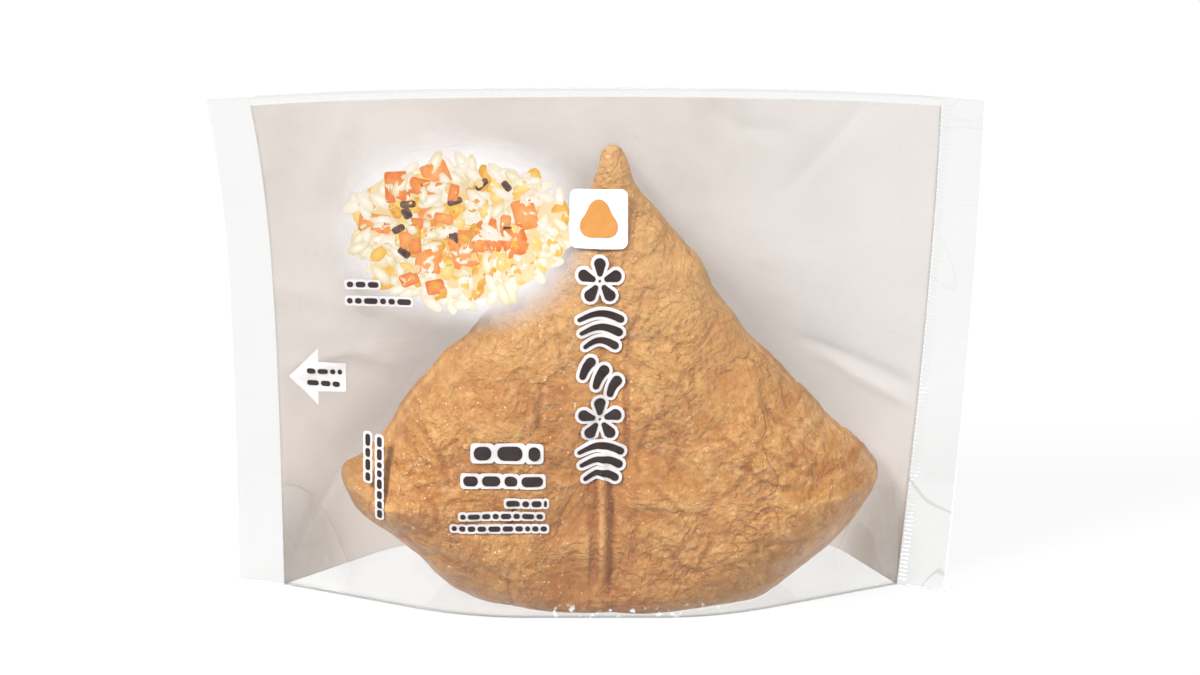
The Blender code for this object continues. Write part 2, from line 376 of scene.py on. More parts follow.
def path_distance(x, z, points):
    """Distance to a run of straight stretches, and how far along it the nearest place is, 0 to 1."""
    best = np.full(x.shape, 1e9)
    share = np.zeros(x.shape)
    for number, ((x0, z0), (x1, z1)) in enumerate(zip(points, points[1:])):
        dx, dz = x1 - x0, z1 - z0
        t = np.clip(((x - x0) * dx + (z - z0) * dz) / (dx * dx + dz * dz), 0, 1)
        off = np.hypot(x - x0 - t * dx, z - z0 - t * dz)
        nearer = off < best
        best = np.where(nearer, off, best)
        share = np.where(nearer, (number + t) / (len(points) - 1), share)
    return best, share


def raised(x, z, lines, sharp=2.0):
    """Relief from a list of creases or folds, each fading towards its two ends."""
    total = np.zeros(x.shape)
    for points, width, height in lines:
        off, share = path_distance(x / MM, z / MM, points)
        fade = np.sqrt(np.clip(4 * share * (1 - share), 0, 1)) * 0.7 + 0.3
        total += height * MM * fade * np.exp(-((off / width) ** sharp))
    return total


def smooth_line(points, count):
    """Points spread evenly along a smooth curve through the given ones."""
    known = np.array(points, float) * MM
    fine = between(known, 12)
    run = np.concatenate([[0], np.cumsum(np.hypot(*np.diff(fine, axis=0).T))])
    even = np.linspace(0, run[-1], count)
    return np.stack([np.interp(even, run, fine[:, k]) for k in range(2)], axis=1)


def roughened(line, start):
    """A line with the small unevenness of the inari's rim."""
    along = np.linspace(0, 110 * MM, len(line))
    uneven = sum(height * noise_over(along, 0 * along + start, size) for size, height in RIM_UNEVENNESS)
    return line + np.stack([uneven, 0 * uneven], axis=1)


LEFT_LINE = roughened(smooth_line(LEFT_SIDE, 180), 0.01)
RIGHT_LINE = roughened(smooth_line(RIGHT_SIDE, 180), 0.05)
FOOD_TOP = min(LEFT_LINE[-1, 1], RIGHT_LINE[-1, 1])


def food_sides(z):
    """The x of the inari's two sides at height z."""
    return [np.interp(z, line[:, 1], line[:, 0]) for line in (LEFT_LINE, RIGHT_LINE)]


def food_distance(x, z):
    """Distance into the inari's own outline, from its two sides."""
    found = np.full(x.shape, 1.0)
    for line in (LEFT_LINE, RIGHT_LINE):
        off, _ = path_distance(x, z, [tuple(p) for p in line[::2]])
        found = np.minimum(found, off)
    left, right = food_sides(z)
    return np.where((x > left) & (x < right) & (z < FOOD_TOP), found, 0)


def skin(x, z, face):
    """The fried skin's relief, and how deep in a crease each place is, from 0 to 1."""
    away = face * 0.31
    drift = noise_over(x, z, 9 * MM, away + 0.2)
    wide = noise_over(x + 1.6 * MM * drift, z - 1.2 * MM * drift, PUFF_SIZE, away)
    fine = noise_over(x - 0.9 * MM * drift, z + 0.9 * MM * drift, WRINKLE_SIZE, away + 0.5)
    tiny = noise_over(x, z, PIMPLE_SIZE, away + 0.8)
    where = np.clip(0.55 + 1.1 * noise_over(x, z, 17 * MM, away + 1.1), 0.1, 1)
    long_creases = np.exp(-((wide / 0.05) ** 2)) * where
    short_creases = np.exp(-((fine / 0.09) ** 2)) * np.clip(1.3 - where, 0.25, 1)
    relief = PUFF_HEIGHT * np.abs(wide) + WRINKLE_HEIGHT * np.abs(fine) + PIMPLE_HEIGHT * tiny
    relief -= PUFF_CREASE_DEPTH * long_creases + WRINKLE_CREASE_DEPTH * short_creases
    deep = 0.40 * long_creases + 0.18 * short_creases
    if face < 0:
        made = raised(x, z, [(points, CREASE_WIDTH_SHARE * width, CREASE_DEPTH_SHARE * depth)
                             for points, width, depth in SKIN_CREASES])
        relief -= made + raised(x, z, (SEAM_RIDGE,))
        deep += 0.6 * np.clip(made / (0.5 * MM), 0, 1)
    return relief, np.clip(deep, 0, 1)


def inari_half_depth(x, z, face):
    """Half the inari's depth with its skin's relief, and the crease depth there."""
    pillow, body = inari_body(x, z, face, food_distance(x, z), FOOD_BASE_SHARE)
    relief, deep = skin(x, z, face)
    return np.maximum(body + relief * np.clip(pillow * 1.6 - 0.2, 0, 1), 0), deep


def gridded(name, x, y, z, turned=False, **values):
    """A sheet: a grid whose points are set to the given places, with named values on them."""
    rows, columns = x.shape
    mesh = bmesh.new()
    bmesh.ops.create_grid(mesh, x_segments=columns - 1, y_segments=rows - 1, size=0.5)
    if turned:
        bmesh.ops.reverse_faces(mesh, faces=mesh.faces[:])
    piece = placed(name, mesh)
    data = piece.data
    flat = np.empty(len(data.vertices) * 3)
    data.vertices.foreach_get("co", flat)
    at = (np.rint((flat[1::3] + 0.5) * (rows - 1)).astype(int),
          np.rint((flat[0::3] + 0.5) * (columns - 1)).astype(int))
    data.vertices.foreach_set("co", np.stack([x[at], y[at], z[at]], axis=1).ravel())
    for key, value in values.items():
        layer = data.attributes.new(key, "FLOAT", "POINT")
        layer.data.foreach_set("value", value[at].ravel())
    data.update()
    return piece


def placed(name, mesh):
    """A smooth piece in the scene, made of a finished bmesh."""
    data = bpy.data.meshes.new(name)
    mesh.to_mesh(data)
    mesh.free()
    data.shade_smooth()
    piece = bpy.data.objects.new(name, data)
    scene.collection.objects.link(piece)
    return piece


def walled(piece, thickness=FILM_THICKNESS, offset=-1):
    """Gives a sheet its film's thickness."""
    wall = piece.modifiers.new("film thickness", "SOLIDIFY")
    wall.thickness = thickness
    wall.offset = offset


def dressed(piece, material):
    """Finishes a piece: its material, its place on the part and the solid that it stands for."""
    piece.data.materials.append(material)
    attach(piece, "root")
    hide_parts("filled_bag")


# Finishes


class Nodes:
    """The nodes of a material or of the world's light, with short ways to add to them."""

    def __init__(self, name, world=False):
        self.owner = (bpy.data.worlds if world else bpy.data.materials).new(name)
        self.owner.use_nodes = True
        self.tree = self.owner.node_tree
        self.tree.nodes.clear()
        self.out = self.add("OutputWorld" if world else "OutputMaterial")

    def add(self, kind, **settings):
        node = self.tree.nodes.new("ShaderNode" + kind)
        for key, value in settings.items():
            setattr(node, key, value)
        return node

    def join(self, source, target):
        if hasattr(source, "outputs"):
            source = source.outputs[0]
        if hasattr(source, "is_output"):
            self.tree.links.new(source, target)
        else:
            target.default_value = source

    def fed(self, kind, **inputs):
        """A new node with its inputs given by name."""
        node = self.add(kind)
        for key, value in inputs.items():
            if value is not None:
                self.join(value, node.inputs[key.replace("_", " ")])
        return node

    def filled(self, node, *given):
        """A node with its first inputs given in order."""
        for socket, value in zip(node.inputs, given):
            self.join(value, socket)
        return node

    def place(self):
        return self.add("TexCoord").outputs["Object"]

    def value(self, name, output="Fac"):
        return self.add("Attribute", attribute_name=name).outputs[output]

    def parts(self, vector):
        return self.fed("SeparateXYZ", Vector=vector).outputs

    def math(self, operation, first, second=0.0):
        return self.filled(self.add("Math", operation=operation), first, second).outputs[0]

    def times(self, first, second):
        return self.math("MULTIPLY", first, second)

    def plus(self, first, second):
        return self.math("ADD", first, second)

    def away(self, value, middle):
        """How far a value is from a middle one, either way."""
        return self.math("ABSOLUTE", self.math("SUBTRACT", value, middle))

    def ranged(self, value, low, high, to_low=0.0, to_high=1.0, kind="LINEAR"):
        node = self.add("MapRange", interpolation_type=kind)
        return self.filled(node, value, low, high, to_low, to_high).outputs[0]

    def eased(self, value, low, high, to_low=0.0, to_high=1.0):
        return self.ranged(value, low, high, to_low, to_high, "SMOOTHSTEP")

    def noise(self, vector, scale, detail=3.0, roughness=0.5, distortion=0.0):
        return self.fed("TexNoise", Vector=vector, Scale=scale, Detail=detail, Roughness=roughness,
                        Distortion=distortion).outputs["Fac"]

    def cells(self, vector, scale):
        return self.fed("TexVoronoi", Vector=vector, Scale=scale).outputs["Distance"]

    def blend(self, share, first, second, mode="MIX"):
        node = self.add("Mix", data_type="RGBA", blend_type=mode)
        for key, given in (("Factor", share), ("A", first), ("B", second)):
            self.join(given, node.inputs[key])
        return node.outputs["Result"]

    def layered(self, base, *layers):
        """A colour with others laid over it, each by its own share."""
        colour = rgb(*base)
        for share, over in layers:
            colour = self.blend(share, colour, rgb(*over))
        return colour

    def bump(self, height, strength, distance):
        return self.fed("Bump", Height=height, Strength=strength, Distance=distance).outputs[0]

    def surface(self, colour, roughness, normal=None, shine=0.3, **inputs):
        return self.fed("BsdfPrincipled", Base_Color=colour, Roughness=roughness, Normal=normal,
                        Specular_IOR_Level=shine, **inputs)

    def mixed(self, share, first, second):
        return self.filled(self.add("MixShader"), share, first, second)

    def done(self, shader):
        self.join(shader, self.out.inputs["Surface"])
        return self.owner


def rgb(*screen):
    """A colour given as it looks on a screen: red, green and blue, from 0 to 255."""
    shares = [value / 255 for value in screen]
    return [s / 12.92 if s <= 0.04045 else ((s + 0.055) / 1.055) ** 2.4 for s in shares] + [1.0]


def film_shader(n, haze, tint, shine, roughness, normal=None):
    """Clear film: mostly see-through, with a sheen that grows towards its edges and a faint haze."""
    see = n.fed("BsdfTransparent", Color=tint)
    milk = n.fed("BsdfDiffuse", Color=(0.93, 0.94, 0.94, 1))
    gloss = n.fed("BsdfGlossy", Color=WHITE, Roughness=roughness, Normal=normal)
    slant = n.math("POWER", n.fed("LayerWeight", Blend=0.5, Normal=normal).outputs["Facing"], 3.0)
    return n.mixed(n.ranged(slant, 0.0, 1.0, shine, EDGE_SHEEN), n.mixed(haze, see, milk), gloss)


def clear_film():
    """The front film: painted shade as a dark line along its folds, with a few painted glints at the
    middle of its bottom.
    """
    n = Nodes("clear film")
    place = n.place()
    x, _, z = n.parts(place)
    hem = n.value("hem")
    # Painted shade: the see-through tint darkens to a grey line along the folded bottom edge, with more
    # milky haze there.
    tint = n.blend(hem, (0.992, 0.993, 0.992, 1), (0.60, 0.60, 0.58, 1))
    haze = n.ranged(hem, 0.0, 1.0, 0.007, 0.14)
    # Painted glints: white specks of milky haze near the bottom of the front film, in its middle.
    film_glints = n.times(n.ranged(n.noise(place, 620, 2), 0.59, 0.68), n.eased(z, 0.0034, 0.0008, 0.0, 0.75))
    film_glints = n.times(film_glints, n.ranged(n.away(x, GLINT_MIDDLE), GLINT_REACH, GLINT_REACH + 4 * MM, 1.0, 0.0))
    return n.done(film_shader(n, n.math("MAXIMUM", haze, film_glints), tint, 0.012, 0.08))


def gusset_film():
    """The gusset: clear film with soft wrinkles."""
    n = Nodes("gusset film")
    normal = n.bump(n.noise(n.place(), 75, 2, 0.6, 0.6), 0.5, 0.0014)
    return n.done(film_shader(n, 0.035, (0.985, 0.986, 0.985, 1), 0.02, 0.12, normal))


def sealed_film():
    """A sealed strip: film welded to film, a little milky, and ribbed where it says so, with painted
    shade as dark crease lines there.
    """
    n = Nodes("sealed film")
    place = n.place()
    up = n.parts(place)[2]
    across = n.value("across")
    ribbed = n.value("ribbed")
    ribs = n.times(n.math("SINE", n.times(up, 2 * math.pi / RIB_PITCH)),
                   n.times(n.ranged(across, 0.17, 0.20, 1.0, 0.0), ribbed))
    height = n.plus(n.times(n.noise(place, 180, 4, 0.6, 0.4), 0.6), n.times(ribs, 0.25))
    tucked = n.ranged(up, TUCK_TOP - 0.2 * MM, TUCK_TOP + 0.2 * MM, 0.03, 0.0)
    rim = n.ranged(across, 0.955, 0.985, 0.0, 0.55)
    haze = n.plus(n.plus(n.plus(0.045, n.times(ribs, 0.035)), tucked), rim)
    haze = n.math("MAXIMUM", haze, n.ranged(across, 0.0, 0.16, 0.05, 0.0))
    # Painted shade: dark crease lines in the film's tint on the ribbed strip, strongest low down.
    bent = n.away(n.noise(place, 34, 2, 0.45, 0.6), 0.5)
    crease = n.times(n.eased(bent, 0.0, 0.011, 1.0, 0.0), n.eased(up, 0.052, 0.026, 0.12, 0.8))
    tint = n.blend(n.times(crease, ribbed), (0.935, 0.935, 0.932, 1), (0.79, 0.79, 0.775, 1))
    return n.done(film_shader(n, haze, tint, 0.03, 0.16, n.bump(height, 0.55, 0.0010)))


def back_print():
    """The back film: clear along its top, with a soft off-white print over the rest; painted light makes
    the print lighter towards its right and its bottom, and painted shade darkens its lower corners.
    """
    n = Nodes("off-white print on film")
    place = n.place()
    x, _, z = n.parts(place)
    # Painted shade: darker towards both lower corners.
    corner = n.times(n.eased(n.away(x, 0.0), 0.042, 0.060), n.eased(z, 0.027, 0.004, 0.0, 0.7))
    colour = n.layered(
        (214, 209, 205),
        (n.ranged(n.noise(place, 38, 4, 0.6, 0.5), 0.35, 0.68), (224, 219, 216)),
        # Painted light: lighter towards the right side.
        (n.ranged(x, 0.022, 0.050, 0.0, 0.7), (226, 224, 223)),
        # Painted light: lighter towards the bottom.
        (n.ranged(z, 0.050, 0.015, 0.0, 0.7), (236, 229, 224)),
        (corner, (178, 166, 152)),
        (n.ranged(n.noise(place, 900, 2, 0.6), 0.3, 0.7, 0.0, 0.25), (229, 225, 221)))
    long_grained = n.fed("Mapping", Vector=place, Scale=(1, 1, 0.35)).outputs[0]
    fibre = n.times(n.noise(long_grained, 420, 3, 0.6), 0.06)
    normal = n.bump(n.plus(n.noise(place, 48, 4, 0.6, 0.7), fibre), 0.5, 0.0016)
    through = n.fed("BsdfTranslucent", Color=colour, Normal=normal)
    printed = n.mixed(PANEL_GLOW, n.surface(colour, 0.5, normal), through)
    clear = film_shader(n, 0.05, (0.950, 0.950, 0.946, 1), 0.02, 0.12, normal)
    edge = n.ranged(n.value("below_top"), CLEAR_TOP - 0.06 * MM, CLEAR_TOP + 0.06 * MM)
    return n.done(n.mixed(edge, clear, printed))


def fried_skin():
    """Simmered fried tofu: mottled tan, with painted shade in its creases and low down, painted light
    higher up and small painted glints.
    """
    n = Nodes("simmered fried tofu")
    place = n.place()
    x, _, z = n.parts(place)
    blotch = n.noise(place, 105, 4, 0.6, 0.6)
    fleck = n.noise(place, 430, 4, 0.62, 0.5)
    grain = n.noise(place, 1350, 2, 0.6)
    lines = n.eased(n.away(n.noise(place, 118, 3, 0.5, 0.35), 0.5), 0.0, 0.030, 1.0, 0.0)
    wrinkle = n.times(lines, n.eased(n.noise(place, 52, 2), 0.46, 0.60))
    # Painted shade: a darker band down the seam.
    seam = n.eased(n.away(x, SEAM_SHADE_X), 0.0018, 0.0052, 0.22, 0.0)
    middle = n.times(n.eased(n.away(x, -4 * MM), 0.004, 0.016, 1.0, 0.0),
                     n.eased(z, 0.060, 0.030, 0.0, 0.24))
    # Painted glints: small pale specks, more of them on the left.
    skin_glints = n.times(n.eased(n.cells(place, 1180), 0.12, 0.30, 1.0, 0.0),
                    n.ranged(n.noise(place, 520, 2), 0.53, 0.63))
    colour = n.layered(
        (172, 114, 50),
        (n.ranged(blotch, 0.37, 0.63), (197, 147, 82)),
        (n.ranged(fleck, 0.50, 0.66, 0.0, 0.42), (168, 94, 38)),
        (n.ranged(fleck, 0.34, 0.46, 0.38, 0.0), (224, 180, 122)),
        (n.ranged(grain, 0.38, 0.62, 0.0, 0.30), (156, 96, 46)),
        # Painted shade: darker colour along the wrinkle lines.
        (n.times(wrinkle, 0.34), (150, 82, 30)),
        # Painted shade in the skin's creases.
        (n.times(n.value("skin_crease_shade"), 0.80), (132, 70, 24)),
        # Painted highlight on the tops of the skin's puffs.
        (n.ranged(n.value("hump_highlight"), 0.5, 0.95, 0.0, 0.40), (240, 194, 128)),
        (seam, (158, 84, 28)),
        (middle, (144, 80, 28)),
        (n.eased(x, EAR_X, EAR_X - 5 * MM, 0.0, 0.75), (158, 112, 56)),
        # Painted shade: darker towards the bottom.
        (n.eased(z, 0.018, 0.001, 0.0, 0.34), (150, 92, 38)),
        # Painted light: lighter higher up.
        (n.eased(z, 0.030, 0.070, 0.0, 0.40), (198, 160, 108)),
        # Painted glints.
        (n.times(skin_glints, n.eased(x, 0.020, -0.024, 0.32, 0.60)), (252, 232, 196)))
    height = n.plus(n.times(fleck, 0.44), n.times(n.cells(place, 640), 0.30))
    height = n.plus(height, n.times(grain, 0.26))
    height = n.times(height, n.ranged(n.noise(place, 60, 2), 0.36, 0.64, 0.35, 1.0))
    height = n.plus(height, n.plus(n.times(blotch, 1.4), n.times(wrinkle, -0.10)))
    drops = n.plus(n.times(fleck, 0.5), n.times(n.noise(place, 950, 2, 0.55, 0.3), 0.5))
    return n.done(n.surface(colour, n.ranged(blotch, 0.3, 0.7, 0.36, 0.52), n.bump(height, 1.0, 0.0019),
                            shine=0.2, Coat_Weight=0.45, Coat_Roughness=0.07,
                            Coat_Normal=n.bump(drops, 1.0, 0.0021)))


def ink(name, colour, roughness=0.3):
    """A flat field of print: one ink with the faint unevenness of a printed film."""
    n = Nodes(name)
    uneven = n.noise(n.place(), 500, 3)
    lighter = [min(1, c * 1.08 + 0.008) for c in colour[:3]] + [1.0]
    shade = n.blend(n.ranged(uneven, 0.35, 0.65), colour, lighter)
    return n.done(n.surface(shade, roughness, n.bump(uneven, 0.1, 0.0002)))


def soft_white():
    """The white field behind the picture of the filling, which fades out along its rim."""
    n = Nodes("soft white field")
    wander = n.plus(n.times(n.noise(n.place(), 70, 2), 0.12), -0.06)
    share = n.eased(n.plus(n.value("field"), wander), 0.03, 0.48, 0.0, 0.82)
    return n.done(n.mixed(share, n.fed("BsdfTransparent"), n.surface(rgb(223, 221, 222), 0.5)))


def picture_ink():
    """The picture of the filling: each printed grain has its own tint, held on its points."""
    n = Nodes("printed grains")
    paler = n.ranged(n.noise(n.place(), 900, 2), 0.3, 0.7, 0.0, 0.12)
    colour = n.blend(paler, n.value("tint", "Color"), rgb(255, 246, 224))
    return n.done(n.surface(n.blend(1.0, colour, (0.76, 0.75, 0.74, 1), "MULTIPLY"), 0.45))


# The bag's pieces


class Bag:
    """The two sheets as taut film, worked out once, with their folds."""

    def __init__(self):
        coarse_x, coarse_z = grid_places()
        self.x, self.z = grid_places(FINER)
        self.middle = MIDDLE_Y + curl(self.x, self.z)
        self.depth = {}
        for face, folds in ((-1, FRONT_FOLDS), (1, BACK_FOLDS)):
            depth = between(between(stretched(coarse_x, coarse_z, face), FINER).T, FINER).T
            self.depth[face] = self.folded(depth, face, folds)
        self.first = SEAL_COLUMNS * FINER
        self.last = self.first + COLUMNS * FINER

    def folded(self, depth, face, folds):
        """Adds the folds and slack of real film, and keeps it outside the inari."""
        x, z = self.x, self.z
        left, right = inner_edges(z)
        inner = np.clip((x - left) / (4 * MM), 0, 1) * np.clip((right - x) / (4 * MM), 0, 1)
        free = inner * np.clip(z / (3 * MM), 0, 1) * np.clip((top_edge(x) - z) / (5 * MM), 0, 1)
        near_top = np.clip((z - FLAT_TOP) / (7 * MM), 0, 1)
        depth = depth + near_top * (spread(depth, 60) - depth)
        slack = 0.30 * MM * noise_over(x, z * 0.7, 16 * MM, face * 0.5)
        slack += 0.10 * MM * noise_over(x, z, 5 * MM, face * 0.5)
        depth = depth + free * slack + np.clip(free + 0.15, 0, 1) * raised(x, z, folds, 1.5)
        food, _ = inari_half_depth(x, z, face)
        hold = np.where(food > 0, food - face * MIDDLE_Y + FOOD_GAP, 0)
        depth = np.maximum(depth, hold)
        depth[0] = base_reach(x[0], face)
        return np.maximum(depth, LEAST_DEPTH)

    def y(self, face):
        return self.middle + face * self.depth[face]

    def on_front(self, x, z, lift):
        """The y of places on the front film, lifted off it a little."""
        height = np.clip(z / top_edge(x), 0, 1)
        left, right = inner_edges(BAG_HEIGHT * height)
        column = np.clip((x - left) / (right - left), 0, 1) * (self.last - self.first) + self.first
        row = height * ROWS * FINER
        surface = self.y(-1)
        i = np.clip(row.astype(int), 0, surface.shape[0] - 2)
        j = np.clip(column.astype(int), 0, surface.shape[1] - 2)
        a, b = row - i, column - j
        low = surface[i, j] * (1 - b) + surface[i, j + 1] * b
        high = surface[i + 1, j] * (1 - b) + surface[i + 1, j + 1] * b
        return low * (1 - a) + high * a - lift


def make_sheets(bag):
    """The front film and the printed back film, between the sealed strips."""
    inner = np.s_[:, bag.first:bag.last + 1]
    x, z = bag.x[inner], bag.z[inner]
    # Where the front film's painted dark line lies: along its folded bottom edge, and faintly along its
    # top.
    hem = np.exp(-((z / (0.45 * MM)) ** 2)) + 0.15 * np.exp(-(((top_edge(x) - z) / (0.4 * MM)) ** 2))
    front = gridded("front_film", x, bag.y(-1)[inner], z, hem=hem)
    walled(front)
    dressed(front, clear_film())
    back = gridded("printed_back_film", x, bag.y(1)[inner], z, turned=True, below_top=top_edge(x) - z)
    walled(back)
    dressed(back, back_print())


def make_strips(bag):
    """The two sealed strips at the sides, each with its weld, its creases and a slight curl."""
    t = np.linspace(0, 1, 8 * FINER + 1)[None, :]
    for name, start, end, ribbed in (("left_sealed_strip", 0, bag.first, 0.0),
                                     ("right_sealed_strip", bag.last, bag.x.shape[1] - 1, 1.0)):
        x, y, z = (side[:, start, None] + (side[:, end] - side[:, start])[:, None] * t
                   for side in (bag.x, bag.middle, bag.z))
        outward = t if ribbed else 1 - t
        crumple = 0.22 * MM * noise_over(x, z, 6 * MM, 0.7 + ribbed)
        slant = STRIP_FOLD_SLANT * (x - x[:, :1]) * (1 if ribbed else -1)
        fold = sum(size * MM * np.exp(-np.abs(z - height * MM - slant) / STRIP_FOLD_WIDTH)
                   for height, size in STRIP_FOLDS)
        y = y + outward * crumple - fold * np.clip(outward * 3, 0, 1)
        across = np.broadcast_to(outward, x.shape)
        strip = gridded(name, x, y, z, across=across, ribbed=np.full(x.shape, ribbed))
        walled(strip, STRIP_THICKNESS, 0)
        dressed(strip, sealed_film())


def make_gusset(bag):
    """The gusset: flat under the inari, and tucked up into a fold beside each sealed strip."""
    x, front, back = (side[0, bag.first:bag.last + 1] for side in (bag.x, bag.y(-1), bag.y(1)))
    t = np.linspace(0, 1, 12 * FINER + 1)[:, None]
    from_left, from_right = x - x[0], x[-1] - x
    rise = GUSSET_FOLD * (np.clip(1 - (from_left / TUCK_LEFT) ** TUCK_POWER, 0, 1)
                          + np.clip(1 - (from_right / TUCK_RIGHT) ** TUCK_POWER, 0, 1))
    lean = TUCK_LEAN * np.clip(from_left / (6 * MM), 0, 1) * (rise > 0)
    width = back - front
    ridge = 1 - np.abs(2 * t - 1)
    y = front + width * t + lean * ridge * np.clip(width / 0.02, 0, 1)
    across = np.broadcast_to(x, y.shape)
    z = rise * ridge + 0.00008 + 0.00012 * (1 + noise_over(across, y, 5 * MM, 0.9)) * (ridge > 0)
    z = np.where((t == 0) | (t == 1), 0.00002, z)
    gusset = gridded("gusset_film", across, y, z, turned=True)
    walled(gusset, FILM_THICKNESS, 1)
    dressed(gusset, gusset_film())


# The inari


def make_inari():
    """The inari: a grid extruded into its front and its back, welded along its rim."""
    z_rows = FOOD_BASE + (FOOD_TOP - FOOD_BASE) * np.linspace(0, 1, FOOD_ROWS + 1)
    left, right = food_sides(z_rows)
    even = np.linspace(0, 1, FOOD_COLUMNS + 1)
    share = 0.6 * even + 0.2 * (1 - np.cos(np.pi * even))
    x = left[:, None] + (right - left)[:, None] * share
    z = np.broadcast_to(z_rows[:, None], x.shape)
    shapes = {face: inari_half_depth(x, z, face) for face in (-1, 1)}
    mesh = bmesh.new()
    bmesh.ops.create_grid(mesh, x_segments=FOOD_COLUMNS, y_segments=FOOD_ROWS, size=0.5)
    grown = bmesh.ops.extrude_face_region(mesh, geom=mesh.faces[:])["geom"]
    behind = {v for v in grown if isinstance(v, bmesh.types.BMVert)}
    # How deep in a crease each place is, which sets the painted crease shade
    skin_crease_shade = mesh.verts.layers.float.new("skin_crease_shade")
    hump_highlight = mesh.verts.layers.float.new("hump_highlight")
    # How far each place stands above its neighbours, which sets the painted highlight on the puffs
    rounded = {face: (depth - spread(depth, 6)) / HUMP_HIGHLIGHT_HEIGHT + 0.5
               for face, (depth, _) in shapes.items()}
    for v in mesh.verts:
        face = 1 if v in behind else -1
        at = (round((v.co.y + 0.5) * FOOD_ROWS), round((v.co.x + 0.5) * FOOD_COLUMNS))
        depth, deep = shapes[face]
        v[skin_crease_shade] = float(deep[at])
        v[hump_highlight] = float(np.clip(rounded[face][at], 0, 1))
        v.co = (x[at], face * depth[at], z[at])
    bmesh.ops.remove_doubles(mesh, verts=mesh.verts[:], dist=0.00001)
    bmesh.ops.recalc_face_normals(mesh, faces=mesh.faces[:])
    dressed(placed("inari", mesh), fried_skin())


def spread(values, rounds):
    """The values evened out over their neighbours."""
    for _ in range(rounds):
        padded = np.pad(values, 1, mode="edge")
        values = (padded[:-2, 1:-1] + padded[2:, 1:-1] + padded[1:-1, :-2] + padded[1:-1, 2:]) / 4
    return values


# The print on the front film


class Print:
    """Flat shapes of one ink, drawn as seen from the front and then laid on the film."""

    def __init__(self, name, bag):
        self.name, self.bag = name, bag
        self.mesh = bmesh.new()
        self.tint = self.mesh.verts.layers.float_color.new("tint")
        self.step = 0

    def shape(self, outline, tint=WHITE, middle_tint=None):
        """One flat shape, from its outline in millimetres; its middle can have a tint of its own."""
        self.step += 1
        height = self.step * SHAPE_STEP * MM
        ring = [self.mesh.verts.new((px * MM, height, pz * MM)) for px, pz in outline]
        face = self.mesh.faces.new(ring)
        for v in ring:
            v[self.tint] = tint
        if middle_tint:
            for v in bmesh.ops.poke(self.mesh, faces=[face])["verts"]:
                v[self.tint] = middle_tint

    def bar(self, x0, z0, x1, z1, corner):
        """A rounded bar from one corner to the other."""
        corner = min(corner, abs(x1 - x0) / 2.01, abs(z1 - z0) / 2.01)
        self.shape(rounded_bar((x0 + x1) / 2, (z0 + z1) / 2, x1 - x0, z1 - z0, corner))

    def finish(self, material, cell=0.8):
        """Cuts the shapes fine enough to follow the film, lays them on it and finishes the piece."""
        mesh = self.mesh
        for axis in (0, 2):
            across = Vector([float(k == axis) for k in range(3)])
            places = [v.co[axis] for v in mesh.verts]
            for at in np.arange(min(places), max(places), cell * MM)[1:]:
                bmesh.ops.bisect_plane(mesh, geom=mesh.verts[:] + mesh.edges[:] + mesh.faces[:],
                                       plane_co=float(at) * across, plane_no=across, dist=1e-7)
        flat = np.array([tuple(v.co) for v in mesh.verts])
        y = self.bag.on_front(flat[:, 0], flat[:, 2], PRINT_LIFT[self.name] * MM + flat[:, 1])
        for v, at in zip(mesh.verts, y):
            v.co.y = at
        bmesh.ops.triangulate(mesh, faces=mesh.faces[:])
        for face in mesh.faces:
            if face.normal.y > 0:
                face.normal_flip()
        dressed(placed(self.name, mesh), material)


def swung(x, z, places, turn):
    """Places given about a middle, moved to it and turned round it."""
    return [(x + px * math.cos(turn) - pz * math.sin(turn), z + px * math.sin(turn) + pz * math.cos(turn))
            for px, pz in places]


def rounded_bar(x, z, wide, high, corner, turn=0.0, steps=5):
    """The outline of a bar with rounded corners."""
    places = []
    for k, (sx, sz) in enumerate(((1, 1), (-1, 1), (-1, -1), (1, -1))):
        for s in range(steps + 1):
            a = math.pi / 2 * (k + s / steps)
            places.append((sx * (wide / 2 - corner) + corner * math.cos(a),
                           sz * (high / 2 - corner) + corner * math.sin(a)))
    return swung(x, z, places, turn)


def oval(x, z, wide, high, turn, steps=12, pinch=0.15):
    """The outline of a printed grain: an oval that is pinched towards one end like a brush dab."""
    angles = [2 * math.pi * s / steps for s in range(steps)]
    return swung(x, z, [(wide / 2 * math.cos(a), high / 2 * math.sin(a) * (1 - pinch * math.cos(a)))
                        for a in angles], turn)


def dab(x0, z0, x1, z1, start, end, bow, grow=0.0, steps=12, arcs=6):
    """The outline of one brush dab from a place to another, of a width at each end, bowed sideways."""
    along = np.linspace(0, 1, steps)
    dx, dz = x1 - x0, z1 - z0
    length = math.hypot(dx, dz)
    aside = [bow * math.sin(math.pi * t) / length for t in along]
    spine = [(x0 + dx * t - dz * a, z0 + dz * t + dx * a) for t, a in zip(along, aside)]
    points = []
    for k, (px, pz) in enumerate(spine):
        before, after = spine[max(0, k - 1)], spine[min(steps - 1, k + 1)]
        run = math.hypot(after[0] - before[0], after[1] - before[1])
        half = (start + (end - start) * along[k]) / 2 + grow
        points.append((px, pz, (after[0] - before[0]) / run, (after[1] - before[1]) / run, half))
    left = [(px - tz * half, pz + tx * half) for px, pz, tx, tz, half in points]
    right = [(px + tz * half, pz - tx * half) for px, pz, tx, tz, half in points]
    ends = []
    for (px, pz, tx, tz, half), sign in ((points[-1], 1), (points[0], -1)):
        arc = [math.pi / 2 * (1 - 2 * s / arcs) for s in range(1, arcs)]
        ends.append([(px + sign * half * (tx * math.cos(a) - tz * math.sin(a)),
                      pz + sign * half * (tz * math.cos(a) + tx * math.sin(a))) for a in arc])
    return left + ends[0] + right[::-1] + ends[1]


